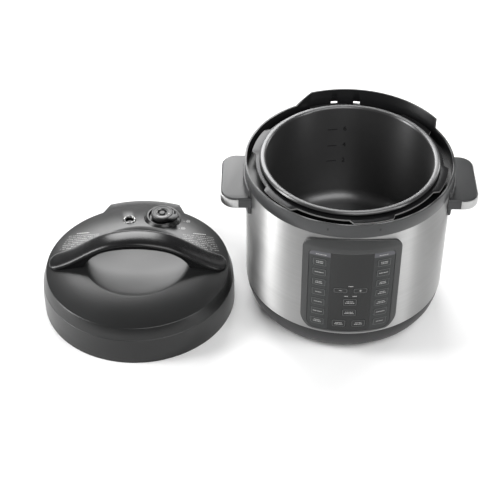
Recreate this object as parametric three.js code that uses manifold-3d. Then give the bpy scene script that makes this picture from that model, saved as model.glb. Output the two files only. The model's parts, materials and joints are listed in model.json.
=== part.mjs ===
// Electric pressure cooker with its lid lying beside it.
// Millimetres, +Z up. The origin is on the cooker's axis at table height, and the control panel faces -Y.
import * as THREE from 'three';
import { mergeVertices } from 'three/addons/utils/BufferGeometryUtils.js';
import Module from 'manifold-3d';

const wasm = await Module();
wasm.setup();

// ---- driving dimensions ----
const GAP = 0.3; // between neighbouring pieces
const SEGMENTS = 48; // facets of every large round piece

const SHELL_R = 137; // steel casing, outside
const SHELL_WALL = 1.2;
const SHELL_BOTTOM = 41.3;
const SHELL_TOP = 211.7;

const BASE_FLOOR = 3; // underside of the base above the table
const BASE_WALL = 2.5;
const FOOT_R = 11;
const FOOT_CIRCLE = 100; // radius on which the four feet stand

const RING_OUT = 138.6; // plastic ring on top of the casing
const RING_IN = 135.9;
const RING_BOTTOM = 212;
const RING_TOP = 232;
const WELL_FLOOR = 214.5; // floor of the groove that takes the lid's skirt
const WELL_IN = 117;
const CROWN_TOP = 248; // raised wall behind the lid
const CROWN_RIGHT = 120; // azimuths of its two ends
const CROWN_LEFT = 203;
const CROWN_SLOPE = 7; // degrees over which the left end slopes down
const DRIP_SLOT = [11, 5.6]; // width and height
const DRIP_SLOT_X = 15.8;
const DRIP_SLOT_Z = 226.6;

const LUG_COUNT = 6;
const LUG_STEP = 360 / LUG_COUNT;
const FLANGE_TOP = 229.5; // bayonet flange of the cooking chamber
const FLANGE_THICK = 2.5;
const FLANGE_R = 124; // between the lugs
const FLANGE_LUG_R = 130.3;
const FLANGE_LUG_AT = 12; // azimuth of the first lug
const FLANGE_LUG_HALF = 12.7;
const LUG_SLANT = 2.5; // degrees over which a lug's end slants

const CHAMBER_R = 116;
const CHAMBER_WALL = 1.5;
const CHAMBER_BOTTOM = 62;

const POT_R = 110.7; // inside of the inner pot
const POT_WALL = 1.8;
const POT_RIM_R = 119;
const POT_FLOOR = 78;
const POT_TOP = 236;
const POT_CORNER = 17;

const POST_AZIMUTHS = [45, 135, 225, 315]; // of the chamber's posts and the feet
const POST_RING = 92;
const POST_R = 7;
const CUT_FAR = 160; // outer and inner ends of cutters that work through the front or the back
const CUT_NEAR = 100;
const PANEL_OPENING = { half: 46, bottom: 62, top: 180 };
const OVERLAY_CORNER = { lower: 12, upper: 7 };
const KEY_CORNER = 2.6;
const INLET = { half: 14, bottom: 47, top: 69 };
const BOARD_X = 47; // half of the control board's width
const CUTOUT_AT = [55, 20, 0];
const SWITCH_AT = [-52, -22, 0];
const ARCH_LEG_IN = 74; // inner edge of each leg of the lid's handle
const ARCH_FLAT = 20; // half of the level stretch at its top
const ARCH_END_Z = 65.5;
const ARCH_FOOT_Z = 50; // below the cover, where the handle's outline is closed
const PANEL_R = 143.5; // front face of the panel frame
const PANEL_HALF = 63.8;
const PANEL_TOP = 210;
const PANEL_HOOD = 195; // lower edge of the sloping hood
const PANEL_BOTTOM = 46.5;
const PANEL_CORNER = { lower: 27, upper: 12 };
const PANEL_DROP = 7; // how far the crowned upper edge falls towards its corners
const PANEL_DROP_ANGLE = Math.PI / 12; // slope of that edge where a corner begins
const PANEL_SLOPE = [4.5, 4, 5]; // depth of the hood, then depth and height of the slope below
const OVERLAY_R = 143;
const OVERLAY_THICK = 1.7;
const OVERLAY_HALF = 55;
const OVERLAY_TOP = 188;
const OVERLAY_BOTTOM = 54;
const WINDOW = { half: 24, bottom: 138, top: 174 }; // opening for the display
const KEY_THICK = 1.3;
const KEY_ROWS = 7;
const KEY_PITCH = 17.25;
const KEY_FIRST_Z = 66.8; // lowest row
const KEY_COLUMN = 16.8; // azimuth of the two side columns
const KEY_SIZE = [18.6, 12.3];
const STEP_KEY_SIZE = [18.6, 8.6];
const STEP_KEY_Z = 125.9;
const CENTRE_KEY_Z = [105.4, 86.7];
const PAIR_AZIMUTH = 5.2; // of the keys that stand in pairs in the middle column

const HANDLE_OUT = 170; // side handles, from the axis to their outer edge
const HANDLE_HALF = 48;
const HANDLE_TOP = 200;
const HANDLE_THICK = 16;
const HANDLE_CORNER = 20;

const LID_X = -288; // where the lid lies
const LID_Y = -20;
const LID_R = 134.5;
const LID_SKIRT_IN = 132.6;
const LID_EDGE_R = 127.4; // upper edge of the sloping side
const LID_EDGE_Z = 58.3;
const DISH_R = 73; // shallow dish under the lid's handle
const DISH_EDGE_Z = 66;
const DISH_DEPTH = 6;
const COVER_WALL = 2.6;
const TAB_R = 143.5;
const TAB_HALF = 20; // degrees
const TAB_ROOT = 29;
const TAB_BOTTOM = 30.5;

const STEEL_OUT = 132.3; // pressed steel lid inside the cover
const STEEL_IN = 131.3;
const STEEL_PLATE = 1.6;
const SEAL_TOP = 27; // top of the sealing ring
const LID_LUG_IN = 126;
const LID_LUG_AT = 9.5;
const LID_LUG_HALF = 12;
const LID_LUG_Z = [3.2, 6.2];

const VALVE = [28.5, 95]; // steam valve, from the lid's centre
const FLOAT = [-18.8, 89.5]; // float valve
const RELIEF_SEAT = 39.9; // underside of the safety valve, in the middle of the lid
const ARCH_TOP = 111.5;
const ARCH_UNDER = 100;
const ARCH_HALF = 17; // half of the handle's width
const ARCH_END = 124;

const CUP = { half: 21, near: 142.5, far: 164, bottom: 158, top: 206, wall: 1.6 };

// ---- colours ----
const BLACK = { color: 0x2b2c2e, roughness: 0.45, metalness: 0 };
const CHARCOAL = { color: 0x3a3b3d, roughness: 0.5, metalness: 0 };
const GLOSS = { color: 0x17181a, roughness: 0.15, metalness: 0 };
const STEEL = { color: 0xb9b9b8, roughness: 0.32, metalness: 1 };
const DARK_STEEL = { color: 0x2a2a2b, roughness: 0.35, metalness: 0.6 };
const NONSTICK = { color: 0x4a4a4b, roughness: 0.4, metalness: 0.3 };
const ALUMINIUM = { color: 0xa7a8a9, roughness: 0.5, metalness: 1 };
const SILICONE = { color: 0xd9dad8, roughness: 0.6, metalness: 0 };
const RUBBER = { color: 0x1b1b1b, roughness: 0.85, metalness: 0 };
const CLEAR = { color: 0xc9d2d6, roughness: 0.12, metalness: 0 };
const BOARD = { color: 0x2f5d3a, roughness: 0.6, metalness: 0 };

// ---- making solids ----

// A closed three.js geometry as a manifold solid, with its faces turned outwards.
function solid(geometry) {
  const bare = geometry.clone();
  bare.deleteAttribute('normal');
  bare.deleteAttribute('uv');
  const merged = mergeVertices(bare, 1e-4);
  const position = merged.attributes.position.array;
  const index = merged.index.array;
  const triangles = [];
  for (let i = 0; i < index.length; i += 3) {
    const [a, b, c] = index.slice(i, i + 3);
    if (a !== b && b !== c && c !== a) triangles.push(a, b, c);
  }
  if (volume(position, triangles) < 0) triangles.reverse();
  return new wasm.Manifold(
    new wasm.Mesh({
      numProp: 3,
      vertProperties: new Float32Array(position),
      triVerts: new Uint32Array(triangles),
    }),
  );
}

function volume(position, triangles) {
  const corner = (i) => new THREE.Vector3().fromArray(position, 3 * i);
  let sum = 0;
  for (let i = 0; i < triangles.length; i += 3) {
    sum += corner(triangles[i]).dot(corner(triangles[i + 1]).cross(corner(triangles[i + 2])));
  }
  return sum;
}

// A manifold solid as a three.js geometry.
function shaped(manifold) {
  const mesh = manifold.getMesh();
  const geometry = new THREE.BufferGeometry();
  geometry.setAttribute('position', new THREE.BufferAttribute(new Float32Array(mesh.vertProperties), 3));
  geometry.setIndex(new THREE.BufferAttribute(new Uint32Array(mesh.triVerts), 1));
  geometry.computeVertexNormals();
  return geometry;
}

// A profile of [radius, height] points turned about Z.
function turned(profile, segments = SEGMENTS) {
  const points = profile.map(([r, z]) => new THREE.Vector2(r, z));
  if (profile[0][0] > 0) points.push(points[0].clone());
  return solid(new THREE.LatheGeometry(points, segments).rotateX(Math.PI / 2));
}

// A tube about Z.
const tube = (inside, outside, low, high, segments) =>
  turned([[inside, low], [outside, low], [outside, high], [inside, high]], segments);

// A rod about Z.
const rod = (radius, low, high, segments = 24) =>
  solid(new THREE.CylinderGeometry(radius, radius, high - low, segments)
    .rotateX(Math.PI / 2)
    .translate(0, 0, (low + high) / 2));

// A box between two corners.
function block([x0, y0, z0], [x1, y1, z1]) {
  return solid(new THREE.BoxGeometry(x1 - x0, y1 - y0, z1 - z0)
    .translate((x0 + x1) / 2, (y0 + y1) / 2, (z0 + z1) / 2));
}

// A plan outline raised from one height to another.
const raised = (shape, low, high, curveSegments = 6) =>
  solid(new THREE.ExtrudeGeometry(shape, { depth: high - low, bevelEnabled: false, curveSegments })
    .translate(0, 0, low));

// A front outline (x across, y up) driven backwards through y.
const driven = (shape, near, far, curveSegments = 6) =>
  solid(new THREE.ExtrudeGeometry(shape, { depth: far - near, bevelEnabled: false, curveSegments })
    .rotateX(Math.PI / 2)
    .translate(0, far, 0));

// Azimuth 0 is the front (-Y), and positive azimuths turn towards +X.
const radians = THREE.MathUtils.degToRad;
const around = (azimuth, r) => [r * Math.sin(radians(azimuth)), -r * Math.cos(radians(azimuth))];

// A rectangle with its own radius at the lower and upper corners.
function roundedBox(x0, y0, x1, y1, lower, upper = lower) {
  const shape = new THREE.Shape();
  shape.moveTo(x0 + lower, y0);
  shape.lineTo(x1 - lower, y0);
  shape.absarc(x1 - lower, y0 + lower, lower, -Math.PI / 2, 0);
  shape.lineTo(x1, y1 - upper);
  shape.absarc(x1 - upper, y1 - upper, upper, 0, Math.PI / 2);
  shape.lineTo(x0 + upper, y1);
  shape.absarc(x0 + upper, y1 - upper, upper, Math.PI / 2, Math.PI);
  shape.lineTo(x0, y0 + lower);
  shape.absarc(x0 + lower, y0 + lower, lower, Math.PI, 1.5 * Math.PI);
  return shape;
}

// A plan wedge between two radii, whose ends slant by some degrees from the inner to the outer radius.
function wedge(centre, half, inner, outer, slant = 0) {
  const steps = 6;
  const shape = new THREE.Shape();
  for (let i = 0; i <= steps; i += 1) {
    const azimuth = centre + (half + slant) * ((2 * i) / steps - 1);
    shape[i ? 'lineTo' : 'moveTo'](...around(azimuth, inner));
  }
  for (let i = steps; i >= 0; i -= 1) {
    shape.lineTo(...around(centre + half * ((2 * i) / steps - 1), outer));
  }
  return shape;
}

const union = (solids) => solids.reduce((whole, next) => whole.add(next));

const cooker = new THREE.Group();
const lid = new THREE.Group();
lid.position.set(LID_X, LID_Y, 0);

// A named mesh with a material of its own.
function piece(name, manifold, finish, parent = cooker) {
  const mesh = new THREE.Mesh(shaped(manifold), new THREE.MeshStandardMaterial(finish));
  mesh.name = name;
  parent.add(mesh);
  return mesh;
}

// ---- base and feet ----
const baseFloorIn = BASE_FLOOR + BASE_WALL;
const baseOut = [[0, BASE_FLOOR], [112, BASE_FLOOR], [122, 7], [131, 17], [135.5, 32], [136.6, 41]];
const baseIn = [[134.1, 41], [133, 32.5], [128.7, 18.5], [120.5, 9.5], [111, baseFloorIn], [0, baseFloorIn]];
const chamberPosts = union(POST_AZIMUTHS.map((azimuth) =>
  rod(POST_R, BASE_FLOOR + 1, CHAMBER_BOTTOM - GAP, 16).translate([...around(azimuth, POST_RING), 0])));
const inletX = INLET.half;
const inletZ = [INLET.bottom, INLET.top];
piece('base_cover', turned([...baseOut, ...baseIn]).add(chamberPosts), BLACK);

POST_AZIMUTHS.forEach((azimuth, i) => {
  const foot = piece(`foot_${i + 1}`, rod(FOOT_R, 0, BASE_FLOOR - GAP), RUBBER);
  foot.position.set(...around(azimuth, FOOT_CIRCLE), 0);
});

// ---- steel casing, with openings behind the panel and for the mains inlet ----
const panelOpening = block(
  [-PANEL_OPENING.half, -CUT_FAR, PANEL_OPENING.bottom], [PANEL_OPENING.half, -CUT_NEAR, PANEL_OPENING.top]);
const inletOpening = block([-inletX, CUT_NEAR, inletZ[0]], [inletX, CUT_FAR, inletZ[1]]);
piece(
  'outer_shell',
  tube(SHELL_R - SHELL_WALL, SHELL_R, SHELL_BOTTOM, SHELL_TOP).subtract(panelOpening).subtract(inletOpening),
  STEEL,
);

// ---- top ring with its crown and drip slots ----
function crownOutline() {
  const span = CROWN_LEFT - CROWN_RIGHT;
  return wedge(CROWN_RIGHT + span / 2, span / 2, RING_IN - 4, RING_OUT + 4);
}
function crownSlope() {
  const slope = new THREE.Shape();
  slope.moveTo(0, 0);
  slope.lineTo(around(CROWN_SLOPE, RING_OUT)[0] * 1.05, 0);
  slope.lineTo(0, CROWN_TOP - RING_TOP);
  const ramp = driven(slope, -5, 5, 1).translate([0, -RING_OUT + 1.3, RING_TOP]);
  return ramp.rotate([0, 0, CROWN_LEFT]).intersect(tube(RING_IN, RING_OUT, RING_TOP - 1, CROWN_TOP));
}
const ringProfile = [
  [WELL_IN, RING_BOTTOM], [RING_OUT, RING_BOTTOM], [RING_OUT, RING_TOP - 1], [RING_OUT - 1, RING_TOP],
  [RING_IN, RING_TOP], [RING_IN, WELL_FLOOR], [WELL_IN, WELL_FLOOR],
];
const shellLocator = tube(SHELL_R - SHELL_WALL - 4, SHELL_R - SHELL_WALL - GAP, RING_BOTTOM - 6, RING_BOTTOM + 1);
const crown = tube(RING_IN, RING_OUT, RING_TOP - 2, CROWN_TOP)
  .intersect(raised(crownOutline(), RING_TOP - 2, CROWN_TOP));
const dripSlots = union([-1, 1].map((side) => block(
  [side * DRIP_SLOT_X - DRIP_SLOT[0] / 2, RING_IN - 8, DRIP_SLOT_Z - DRIP_SLOT[1] / 2],
  [side * DRIP_SLOT_X + DRIP_SLOT[0] / 2, RING_OUT + 8, DRIP_SLOT_Z + DRIP_SLOT[1] / 2],
)));
piece(
  'top_ring',
  union([turned(ringProfile), shellLocator, crown, crownSlope()]).subtract(dripSlots),
  CHARCOAL,
);

// ---- cooking chamber with its bayonet flange ----
const chamberIn = CHAMBER_R - CHAMBER_WALL;
const chamberProfile = [
  [22, CHAMBER_BOTTOM], [100, CHAMBER_BOTTOM], [112, 68], [CHAMBER_R, 82],
  [CHAMBER_R, FLANGE_TOP - FLANGE_THICK], [FLANGE_R, FLANGE_TOP - FLANGE_THICK], [FLANGE_R, FLANGE_TOP],
  [chamberIn, FLANGE_TOP], [chamberIn, 82.4], [110.9, 69.2], [99.6, CHAMBER_BOTTOM + CHAMBER_WALL],
  [22, CHAMBER_BOTTOM + CHAMBER_WALL],
];
const flangeLugs = Array.from({ length: LUG_COUNT }, (_, i) => raised(
  wedge(FLANGE_LUG_AT + i * LUG_STEP, FLANGE_LUG_HALF, FLANGE_R - 2, FLANGE_LUG_R, LUG_SLANT),
  FLANGE_TOP - FLANGE_THICK, FLANGE_TOP,
));
piece('cooking_chamber', union([turned(chamberProfile), ...flangeLugs]), DARK_STEEL);

// ---- inner pot ----
function quarter(cx, cz, radius, from, to, steps = 5) {
  return Array.from({ length: steps + 1 }, (_, i) => {
    const angle = radians(from + ((to - from) * i) / steps);
    return [cx + radius * Math.cos(angle), cz + radius * Math.sin(angle)];
  });
}
const potOut = POT_R + POT_WALL;
const potCentre = [POT_R - POT_CORNER, POT_FLOOR + POT_CORNER];
piece(
  'inner_pot',
  turned([
    [0, POT_FLOOR - POT_WALL],
    ...quarter(...potCentre, POT_CORNER + POT_WALL, -90, 0),
    [potOut, POT_TOP - 5], [POT_RIM_R - 1.6, POT_TOP - 5.8], [POT_RIM_R, POT_TOP - 5],
    [POT_RIM_R, POT_TOP - 2], [POT_RIM_R - 2, POT_TOP], [POT_R + 2, POT_TOP], [POT_R, POT_TOP - 2],
    ...quarter(...potCentre, POT_CORNER, 0, -90),
    [0, POT_FLOOR],
  ]),
  NONSTICK,
);

// ---- heating plate, temperature sensor and the parts below the chamber ----
const potUnder = POT_FLOOR - POT_WALL;
piece(
  'heating_plate',
  turned([
    [14, 67], [80, 67], [80, CHAMBER_BOTTOM + CHAMBER_WALL + GAP], [90, CHAMBER_BOTTOM + CHAMBER_WALL + GAP],
    [92, 70], [92, potUnder - GAP], [14, potUnder - GAP],
  ]),
  ALUMINIUM,
);
piece(
  'temperature_sensor',
  rod(12, 70, potUnder - GAP).add(rod(4.5, 49, 71)),
  ALUMINIUM,
);
piece('sensor_spring', tube(5.6, 7.4, 54, 68.2, 24), STEEL);
piece(
  'sensor_holder',
  turned([
    [5.2, 51], [28, 51], [28, CHAMBER_BOTTOM - GAP], [25, CHAMBER_BOTTOM - GAP], [25, 53.6], [5.2, 53.6],
  ]),
  STEEL,
);
piece('thermal_cutout', rod(9, 45, CHAMBER_BOTTOM - GAP, 20), GLOSS).position.set(...CUTOUT_AT);
piece('pressure_switch', rod(15, 40, CHAMBER_BOTTOM - GAP, 20), BLACK).position.set(...SWITCH_AT);
piece('power_board', block([-45, -85, 14], [45, -35, 16]).add(block([-30, -76, 15], [-6, -46, 38])), BOARD);

// ---- control panel ----
const panelSegments = 64;
const crownedOutline = () => {
  const { lower, upper } = PANEL_CORNER;
  const [low, high] = [PANEL_BOTTOM + lower, PANEL_TOP - PANEL_DROP - upper];
  const start = Math.PI / 2 - PANEL_DROP_ANGLE;
  const edge = [PANEL_HALF - upper + upper * Math.cos(start), high + upper * Math.sin(start)];
  const shape = new THREE.Shape();
  shape.moveTo(lower - PANEL_HALF, PANEL_BOTTOM);
  shape.lineTo(PANEL_HALF - lower, PANEL_BOTTOM);
  shape.absarc(PANEL_HALF - lower, low, lower, -Math.PI / 2, 0);
  shape.lineTo(PANEL_HALF, high);
  shape.absarc(PANEL_HALF - upper, high, upper, 0, start);
  shape.quadraticCurveTo(0, 2 * PANEL_TOP - edge[1], -edge[0], edge[1]);
  shape.absarc(upper - PANEL_HALF, high, upper, Math.PI - start, Math.PI);
  shape.lineTo(-PANEL_HALF, low);
  shape.absarc(lower - PANEL_HALF, low, lower, Math.PI, 1.5 * Math.PI);
  return shape;
};
const overlayOutline = (grow) => roundedBox(
  -OVERLAY_HALF - grow, OVERLAY_BOTTOM - grow, OVERLAY_HALF + grow, OVERLAY_TOP + grow,
  OVERLAY_CORNER.lower, OVERLAY_CORNER.upper);
const overlayBack = OVERLAY_R - OVERLAY_THICK;
const frameBack = SHELL_R + GAP + 0.3;
const front = -CUT_FAR;
const panelFrame = turned([
  [frameBack, PANEL_BOTTOM], [PANEL_R - PANEL_SLOPE[1], PANEL_BOTTOM], [PANEL_R, PANEL_BOTTOM + PANEL_SLOPE[2]],
  [PANEL_R, PANEL_HOOD], [PANEL_R - PANEL_SLOPE[0], PANEL_TOP], [frameBack, PANEL_TOP],
], panelSegments)
  .intersect(driven(crownedOutline(), front, -CUT_NEAR))
  .subtract(tube(overlayBack - GAP, PANEL_R + 9, 30, 200, panelSegments)
    .intersect(driven(overlayOutline(GAP), front, -CUT_NEAR)))
  .subtract(block([-WINDOW.half, front, WINDOW.bottom], [WINDOW.half, -CUT_NEAR, WINDOW.top]));
piece('panel_frame', panelFrame, CHARCOAL);

const keys = [];
for (let row = 0; row < KEY_ROWS; row += 1) {
  const z = KEY_FIRST_Z + (KEY_ROWS - 1 - row) * KEY_PITCH;
  keys.push({ name: `key_left_${row + 1}`, azimuth: -KEY_COLUMN, z, size: KEY_SIZE });
  keys.push({ name: `key_right_${row + 1}`, azimuth: KEY_COLUMN, z, size: KEY_SIZE });
}
keys.push({ name: 'key_minus', azimuth: -PAIR_AZIMUTH, z: STEP_KEY_Z, size: STEP_KEY_SIZE });
keys.push({ name: 'key_plus', azimuth: PAIR_AZIMUTH, z: STEP_KEY_Z, size: STEP_KEY_SIZE });
keys.push({ name: 'key_centre_1', azimuth: 0, z: CENTRE_KEY_Z[0], size: KEY_SIZE });
keys.push({ name: 'key_centre_2', azimuth: 0, z: CENTRE_KEY_Z[1], size: KEY_SIZE });
keys.push({ name: 'key_bottom_1', azimuth: -PAIR_AZIMUTH, z: KEY_FIRST_Z, size: KEY_SIZE });
keys.push({ name: 'key_bottom_2', azimuth: PAIR_AZIMUTH, z: KEY_FIRST_Z, size: KEY_SIZE });

const keyOutline = ([width, height], grow, corner) =>
  roundedBox(-width / 2 - grow, -height / 2 - grow, width / 2 + grow, height / 2 + grow, corner);
const keyHoles = union(keys.map(({ azimuth, z, size }) =>
  driven(keyOutline(size, GAP, KEY_CORNER), -PANEL_R - 5, -overlayBack + 6, 2)
    .translate([0, 0, z])
    .rotate([0, 0, azimuth])));
piece(
  'panel_overlay',
  tube(overlayBack, OVERLAY_R, 30, 200, panelSegments)
    .intersect(driven(overlayOutline(0), front, -CUT_NEAR))
    .subtract(keyHoles),
  GLOSS,
);
keys.forEach(({ name, azimuth, z, size }) => {
  const plate = driven(keyOutline(size, 0, 2.3), -OVERLAY_R, -OVERLAY_R + KEY_THICK, 2);
  const key = piece(name, plate, GLOSS);
  key.position.z = z;
  key.rotation.z = radians(azimuth);
});
piece('display_module', block([-21, -139, WINDOW.bottom + 2], [21, -124, WINDOW.top - 2]), GLOSS);
piece('control_board', block([-BOARD_X, -123.6, PANEL_OPENING.bottom - 2], [BOARD_X, -122, PANEL_OPENING.top + 2]), BOARD);

// ---- mains inlet at the back ----
const inletFace = SHELL_R + 1.4;
const inletBody = block([-inletX + GAP, 121, inletZ[0] + GAP], [inletX - GAP, inletFace, inletZ[1] - GAP])
  .subtract(block([-10.5, 125, 51.5], [10.5, inletFace + 5, 64.5]));
const inletPins = [[-6, 56], [0, 60], [6, 56]].map(([x, z]) => block([x - 1, 124, z - 2], [x + 1, 134, z + 2]));
piece('power_inlet', union([inletBody, ...inletPins]), BLACK);

// ---- side handles and their steel bands ----
const handleOutline = (grow) => {
  const half = HANDLE_HALF + grow;
  const out = HANDLE_OUT + grow;
  const corner = HANDLE_CORNER + grow;
  const shape = new THREE.Shape();
  shape.moveTo(100, -half);
  shape.lineTo(out - corner, -half);
  shape.absarc(out - corner, -half + corner, corner, -Math.PI / 2, 0);
  shape.lineTo(out, half - corner);
  shape.absarc(out - corner, half - corner, corner, 0, Math.PI / 2);
  shape.lineTo(100, half);
  return shape;
};
const handleBottom = HANDLE_TOP - HANDLE_THICK;
const handleFit = rod(SHELL_R + GAP + 0.2, 100, 260, SEGMENTS);
const handleRoot = tube(SHELL_R - 5, SHELL_R + 4, handleBottom - 12, RING_BOTTOM - GAP)
  .intersect(block([60, -44, 100], [200, 44, 260]));
const sideHandle = raised(handleOutline(0), handleBottom, HANDLE_TOP).add(handleRoot).subtract(handleFit);
const sideBand = raised(handleOutline(1.1), handleBottom + 1.5, HANDLE_TOP - 1.5)
  .subtract(raised(handleOutline(GAP), handleBottom, HANDLE_TOP))
  .intersect(block([HANDLE_OUT - 24, -80, 100], [200, 80, 260]));
[['right', 0], ['left', Math.PI]].forEach(([side, turn]) => {
  piece(`handle_${side}`, sideHandle, CHARCOAL).rotation.z = turn;
  piece(`handle_band_${side}`, sideBand, STEEL).rotation.z = turn;
});

// ---- condensation cup and its bracket ----
const cupBox = (inset, low, high) => raised(
  roundedBox(-CUP.half + inset, CUP.near + inset, CUP.half - inset, CUP.far - inset, 5 - inset), low, high, 3);
piece(
  'collector_bracket',
  block([-26, 120, CUP.bottom], [26, CUP.near - GAP, CUP.top + 4])
    .add(block([-26, CUP.near - 2, CUP.top + GAP], [26, CUP.near + 3, CUP.top + 4]))
    .subtract(rod(SHELL_R + GAP + 0.2, 100, 260, SEGMENTS)),
  BLACK,
);
piece(
  'condensation_cup',
  cupBox(0, CUP.bottom, CUP.top).subtract(cupBox(CUP.wall, CUP.bottom + CUP.wall, CUP.top + 1)),
  CLEAR,
);

// ---- lid cover ----
const domeSlope = (DISH_EDGE_Z - LID_EDGE_Z) / (LID_EDGE_R - DISH_R);
const coverOut = (up) => [
  [LID_R, up], [LID_R, 24 + up], [133.2, 40 + up], [131.9, 44 + up], [LID_EDGE_R, LID_EDGE_Z + up],
  [DISH_R, DISH_EDGE_Z + up], [60, DISH_EDGE_Z - 3 + up], [38, DISH_EDGE_Z - 5.2 + up],
  [0, DISH_EDGE_Z - DISH_DEPTH + up],
];
const coverIn = [
  [0, DISH_EDGE_Z - DISH_DEPTH - COVER_WALL], [38, DISH_EDGE_Z - 5.2 - COVER_WALL],
  [60, DISH_EDGE_Z - 3 - COVER_WALL], [DISH_R, DISH_EDGE_Z - COVER_WALL], [125.4, LID_EDGE_Z - COVER_WALL],
  [129.4, 43.6], [130.8, 39.4], [LID_SKIRT_IN, 33], [LID_SKIRT_IN, 0],
];
const tabTop = DISH_EDGE_Z - domeSlope * (TAB_R - DISH_R);
const tabBlock = turned([
  [120, TAB_BOTTOM], [TAB_R, TAB_BOTTOM], [TAB_R, tabTop], [120, DISH_EDGE_Z - domeSlope * (120 - DISH_R)],
]);
const tabOutline = wedge(180, TAB_HALF, LID_EDGE_R - 1, TAB_R + 2, TAB_ROOT - TAB_HALF);
const coverInside = turned([...coverIn, [0, 0]].reverse());
const tab = tabBlock.intersect(raised(tabOutline, 20, 80)).subtract(coverInside);
// The space that the cover fills, raised a little: what stands on the cover is cut by it.
const above = (up) => turned([[0, 0], [LID_R, 0], ...coverOut(up)]).add(tab.translate([0, 0, up]));
const coverHoles = rod(6, 40, 80).translate([...VALVE, 0]).add(rod(6, 40, 80).translate([...FLOAT, 0]));
const coverBody = turned([...coverOut(0), ...coverIn]);
piece('lid_cover', coverBody.add(tab).subtract(coverHoles), CHARCOAL, lid);

// ---- lid handle: an arch over the dish ----
function archOutline() {
  const shape = new THREE.Shape();
  shape.moveTo(-ARCH_END, ARCH_FOOT_Z);
  shape.lineTo(-ARCH_END, ARCH_END_Z);
  shape.bezierCurveTo(-88, 69, -72, ARCH_TOP, -ARCH_FLAT, ARCH_TOP);
  shape.lineTo(ARCH_FLAT, ARCH_TOP);
  shape.bezierCurveTo(72, ARCH_TOP, 88, 69, ARCH_END, ARCH_END_Z);
  shape.lineTo(ARCH_END, ARCH_FOOT_Z);
  shape.lineTo(ARCH_LEG_IN, ARCH_FOOT_Z);
  shape.lineTo(ARCH_LEG_IN, 64);
  shape.bezierCurveTo(69, 82, 54, ARCH_UNDER, ARCH_FLAT, ARCH_UNDER);
  shape.lineTo(-ARCH_FLAT, ARCH_UNDER);
  shape.bezierCurveTo(-54, ARCH_UNDER, -69, 82, -ARCH_LEG_IN, 64);
  shape.lineTo(-ARCH_LEG_IN, ARCH_FOOT_Z);
  return shape;
}
piece('lid_handle', driven(archOutline(), -ARCH_HALF, ARCH_HALF, 8).subtract(above(GAP)), GLOSS, lid);

// ---- steel lid with its inward lugs ----
const plateUnder = SEAL_TOP + GAP;
const steelProfile = [
  [0, 38], [20, 38], [108, plateUnder], [STEEL_IN, plateUnder], [STEEL_IN, LID_LUG_Z[0]],
  [STEEL_OUT, LID_LUG_Z[0]], [STEEL_OUT, plateUnder + 1], [STEEL_OUT - 1, plateUnder + STEEL_PLATE],
  [108, plateUnder + STEEL_PLATE], [20, 38 + STEEL_PLATE], [0, 38 + STEEL_PLATE],
];
const lidLugs = Array.from({ length: LUG_COUNT }, (_, i) => raised(
  wedge(LID_LUG_AT + i * LUG_STEP, LID_LUG_HALF, LID_LUG_IN, STEEL_IN + 0.6), ...LID_LUG_Z));
const steelHoles = rod(3.9, 20, 50).translate([...VALVE, 0]).add(rod(4.5, 20, 50).translate([...FLOAT, 0]));
piece('steel_lid', union([turned(steelProfile), ...lidLugs]).subtract(steelHoles), STEEL, lid);

// ---- sealing ring and the wire rack inside it ----
piece(
  'sealing_ring',
  turned([
    [110, 17.4], [121.5, 17.4], [121.5, SEAL_TOP], [109.5, SEAL_TOP], [109.5, 25], [118.6, 25],
    [118.6, 19.6], [110, 19.6],
  ]),
  SILICONE,
  lid,
);
piece('seal_rack', tube(114.4, 117, 21, 23.6), STEEL, lid);

// ---- steam valve ----
const [valveX, valveY] = VALVE;
piece(
  'valve_collar',
  turned([[6.2, 50], [27, 50], [27, 63], [22, 69], [19.5, 69], [18.5, 65.4], [6.2, 65.4]], 32)
    .translate([valveX, valveY, 0])
    .subtract(above(GAP)),
  GLOSS,
  lid,
);
piece('valve_stem', tube(1.6, 3.5, 21, 71, 20), STEEL, lid).position.set(valveX, valveY, 0);
const knobTail = driven(roundedBox(-5, 0, 5, 3.6, 0.8), 8, 25, 2).translate([0, 0, 70.2]);
const knob = piece(
  'valve_knob',
  union([turned([[0, 67], [14, 67], [15.5, 69], [15.5, 73.5], [14, 75], [0, 75]], 32), knobTail])
    .subtract(rod(3.9, 60, 72)),
  GLOSS,
  lid,
);
knob.position.set(valveX, valveY, 0);
knob.rotation.z = radians(-120);
piece(
  'valve_screen',
  turned([[3.9, 25], [5.4, 25], [5.4, 19], [7, 19], [7, 27], [3.9, 27]], 20),
  STEEL,
  lid,
).position.set(valveX, valveY, 0);

// ---- float valve ----
piece(
  'float_bezel',
  tube(5.6, 9.6, 50, 65.4, 32).translate([...FLOAT, 0]).subtract(above(GAP)),
  STEEL,
  lid,
);
piece('float_pin', rod(4, 22, 61, 20).add(rod(6.2, 20, 22.6, 20)), STEEL, lid).position.set(...FLOAT, 0);

// ---- safety valve under the cover ----
const reliefHousing = turned([[0, 0], [7, 0], [7, 10.8], [4.7, 10.8], [4.7, 1.8], [0, 1.8]], 20);
piece('relief_housing', reliefHousing, STEEL, lid).position.z = RELIEF_SEAT;
piece('relief_ball', solid(new THREE.SphereGeometry(4, 16, 12)), STEEL, lid).position.z = RELIEF_SEAT + 6.3;

cooker.add(lid);
export default cooker;
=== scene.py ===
import json
import math

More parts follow.
